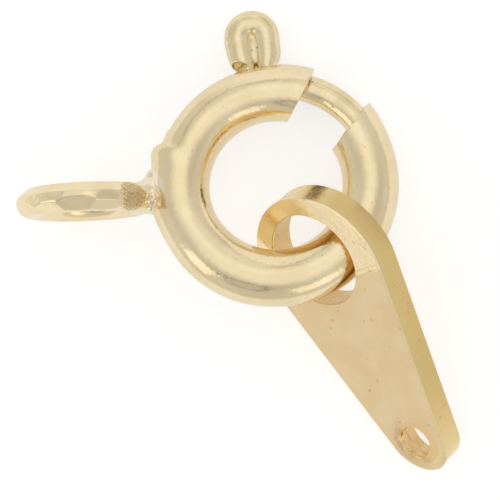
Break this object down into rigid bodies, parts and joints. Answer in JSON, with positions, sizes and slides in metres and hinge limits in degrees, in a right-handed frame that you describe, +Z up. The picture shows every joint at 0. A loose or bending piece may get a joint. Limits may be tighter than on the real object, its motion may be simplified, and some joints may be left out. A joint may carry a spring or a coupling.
{
  "type": "spring ring clasp",
  "caption": "Spring ring clasp with sliding bolt and thumb lever, soldered attachment ring, and a teardrop chain tag threaded on the ring.",
  "frame": {"origin": "middle of the footprint of the clasp as it lies, on the surface it lies on", "axes": "+Z up; +Y from the tag's tail towards the lever; +X from the attachment ring towards the tag"},
  "size_m": [0.0108, 0.0112, 0.0034],
  "materials": {
    "pale_gold": "polished pale champagne-gold plate",
    "bolt_gold": "polished pale gold plate, scuffed",
    "spring_steel": "drawn wire",
    "warm_gold": "warm gold plate, satin face with bright edges"
  },
  "bodies": {
    "clasp": {"housing": "pale_gold", "spring": "spring_steel", "tag": "warm_gold"},
    "bolt": {"bolt": "bolt_gold"}
  },
  "joints": [
    {"name": "lever_slide", "type": "hinge", "parent": "clasp", "child": "bolt", "pos_m": [0.00098, 0.00139, 0.00137], "axis": [0.042, 0.2659, 0.9631], "range_deg": [0, 42], "stiffness_Nm_per_rad": 0.004, "deforming": ["spring"]}
  ]
}
